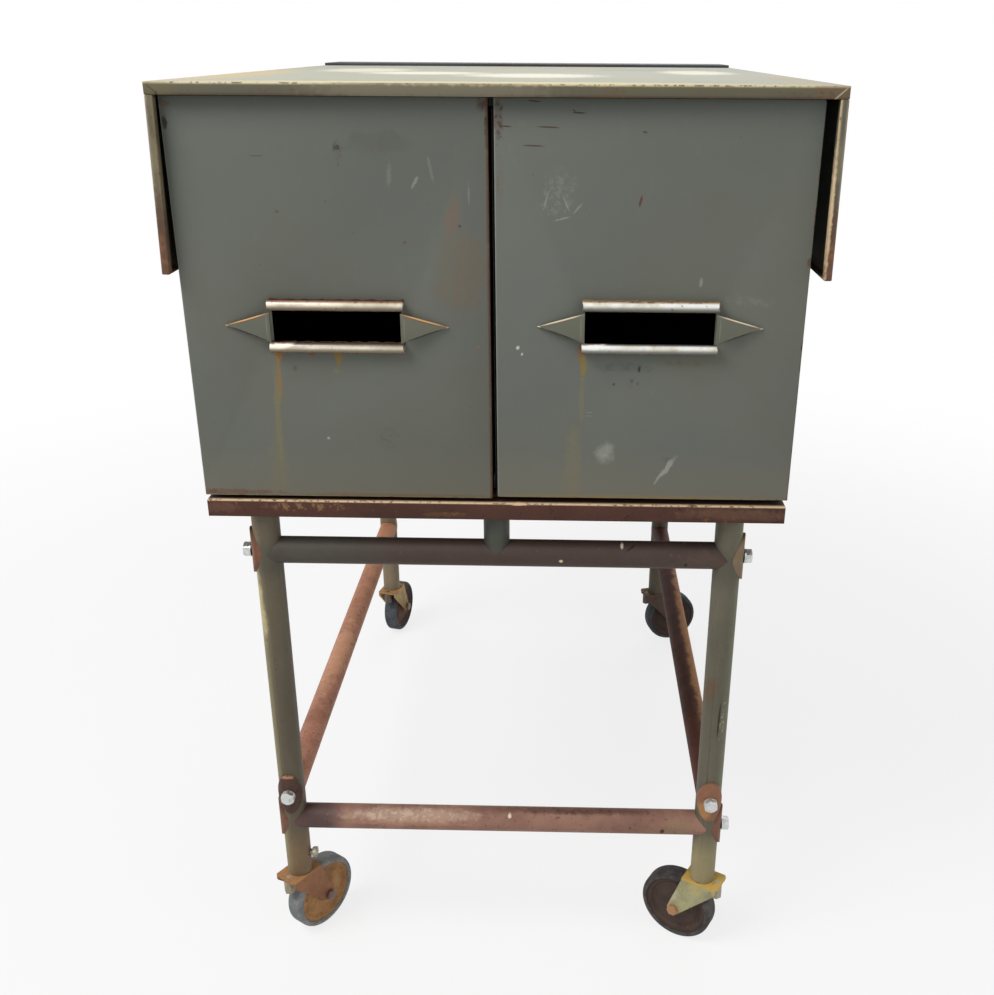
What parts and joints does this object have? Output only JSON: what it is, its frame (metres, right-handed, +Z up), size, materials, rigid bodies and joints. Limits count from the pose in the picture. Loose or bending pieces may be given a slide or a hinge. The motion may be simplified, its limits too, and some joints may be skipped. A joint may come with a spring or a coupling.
{
  "type": "drawer cabinet",
  "caption": "Metal workshop drawer cabinet with a folded cover and side skirts, side-by-side deep drawers, on a bolted tube trolley with swivel casters.",
  "frame": {"origin": "on the floor, under the middle of the cover's footprint", "axes": "+Z up, -Y towards the drawer fronts, +X to the right of a person who faces them"},
  "size_m": [0.6895, 0.99, 1.094],
  "materials": {
    "cover_paint": "worn satin paint",
    "carcass_paint": "worn satin paint",
    "strip_paint": "matt paint",
    "drawer_paint": "worn satin paint",
    "leg_paint": "worn satin paint",
    "rail_rust": "brown surface rust",
    "tube_rust": "worn paint over brown rust",
    "saddle_rust": "brown surface rust",
    "zinc_steel": "zinc plated",
    "turned_steel": "turned",
    "worn_rod": "cream paint worn to metal",
    "fork_plate": "worn plating with rust",
    "caster_bolt": "dull plating",
    "disc_rust": "rusted pressed steel",
    "tyre": "matt rubber"
  },
  "bodies": {
    "cabinet": {"top_cover": "cover_paint", "left_skirt": "carcass_paint", "right_skirt": "carcass_paint", "back_strip": "strip_paint", "left_side_panel": "carcass_paint", "right_side_panel": "carcass_paint", "back_panel": "carcass_paint", "centre_divider": "carcass_paint", "floor_panel": "carcass_paint", "front_header": "carcass_paint", "stop_bar": "carcass_paint", "drawer_runners": "rail_rust", "front_rail": "rail_rust", "rear_rail": "rail_rust", "left_rail": "rail_rust", "right_rail": "rail_rust", "bearers": "rail_rust", "front_left_leg": "leg_paint", "front_right_leg": "leg_paint", "rear_left_leg": "leg_paint", "rear_right_leg": "leg_paint", "leg_pads": "rail_rust", "front_upper_tube": "tube_rust", "rear_upper_tube": "tube_rust", "front_lower_tube": "tube_rust", "rear_lower_tube": "tube_rust", "left_stretcher": "tube_rust", "right_stretcher": "tube_rust", "front_post": "leg_paint", "rear_post": "leg_paint", "tube_plugs": "turned_steel", "saddle_washers": "saddle_rust", "frame_bolts": "zinc_steel", "caster_stems": "turned_steel", "clamp_screws": "zinc_steel"},
    "left_drawer": {"left_drawer_front": "drawer_paint", "left_drawer_box": "drawer_paint", "left_handle_rods": "worn_rod", "left_handle_ears": "drawer_paint"},
    "right_drawer": {"right_drawer_front": "drawer_paint", "right_drawer_box": "drawer_paint", "right_handle_rods": "worn_rod", "right_handle_ears": "drawer_paint"},
    "front_left_swivel": {"front_left_fork": "fork_plate", "front_left_fork_bolts": "caster_bolt"},
    "front_left_wheel": {"front_left_wheel": "disc_rust", "front_left_tyre": "tyre"},
    "front_right_swivel": {"front_right_fork": "fork_plate", "front_right_fork_bolts": "caster_bolt"},
    "front_right_wheel": {"front_right_wheel": "disc_rust", "front_right_tyre": "tyre"},
    "rear_left_swivel": {"rear_left_fork": "fork_plate", "rear_left_fork_bolts": "caster_bolt"},
    "rear_left_wheel": {"rear_left_wheel": "disc_rust", "rear_left_tyre": "tyre"},
    "rear_right_swivel": {"rear_right_fork": "fork_plate", "rear_right_fork_bolts": "caster_bolt"},
    "rear_right_wheel": {"rear_right_wheel": "disc_rust", "rear_right_tyre": "tyre"}
  },
  "joints": [
    {"name": "left_drawer_slide", "type": "slide", "parent": "cabinet", "child": "left_drawer", "axis": [0, -1, 0], "range_m": [0, 0.65]},
    {"name": "right_drawer_slide", "type": "slide", "parent": "cabinet", "child": "right_drawer", "axis": [0, -1, 0], "range_m": [0, 0.65]},
    {"name": "front_left_swivel", "type": "hinge", "parent": "cabinet", "child": "front_left_swivel", "pos_m": [-0.2735, -0.462, 0.1052], "axis": [0, 0, 1], "continuous": true},
    {"name": "front_left_roll", "type": "hinge", "parent": "front_left_swivel", "child": "front_left_wheel", "pos_m": [-0.25616, -0.4363, 0.05], "axis": [-0.829, 0.5592, 0], "continuous": true},
    {"name": "front_right_swivel", "type": "hinge", "parent": "cabinet", "child": "front_right_swivel", "pos_m": [0.2635, -0.462, 0.1052], "axis": [0, 0, 1], "continuous": true},
    {"name": "front_right_roll", "type": "hinge", "parent": "front_right_swivel", "child": "front_right_wheel", "pos_m": [0.23665, -0.4465, 0.05], "axis": [-0.5, -0.866, 0], "continuous": true},
    {"name": "rear_left_swivel", "type": "hinge", "parent": "cabinet", "child": "rear_left_swivel", "pos_m": [-0.2735, 0.371, 0.1052], "axis": [0, 0, 1], "continuous": true},
    {"name": "rear_left_roll", "type": "hinge", "parent": "rear_left_swivel", "child": "rear_left_wheel", "pos_m": [-0.266, 0.40108, 0.05], "axis": [-0.9703, 0.2419, 0], "continuous": true},
    {"name": "rear_right_swivel", "type": "hinge", "parent": "cabinet", "child": "rear_right_swivel", "pos_m": [0.2635, 0.371, 0.1052], "axis": [0, 0, 1], "continuous": true},
    {"name": "rear_right_roll", "type": "hinge", "parent": "rear_right_swivel", "child": "rear_right_wheel", "pos_m": [0.2933, 0.37955, 0.05], "axis": [-0.2756, 0.9613, 0], "continuous": true}
  ]
}
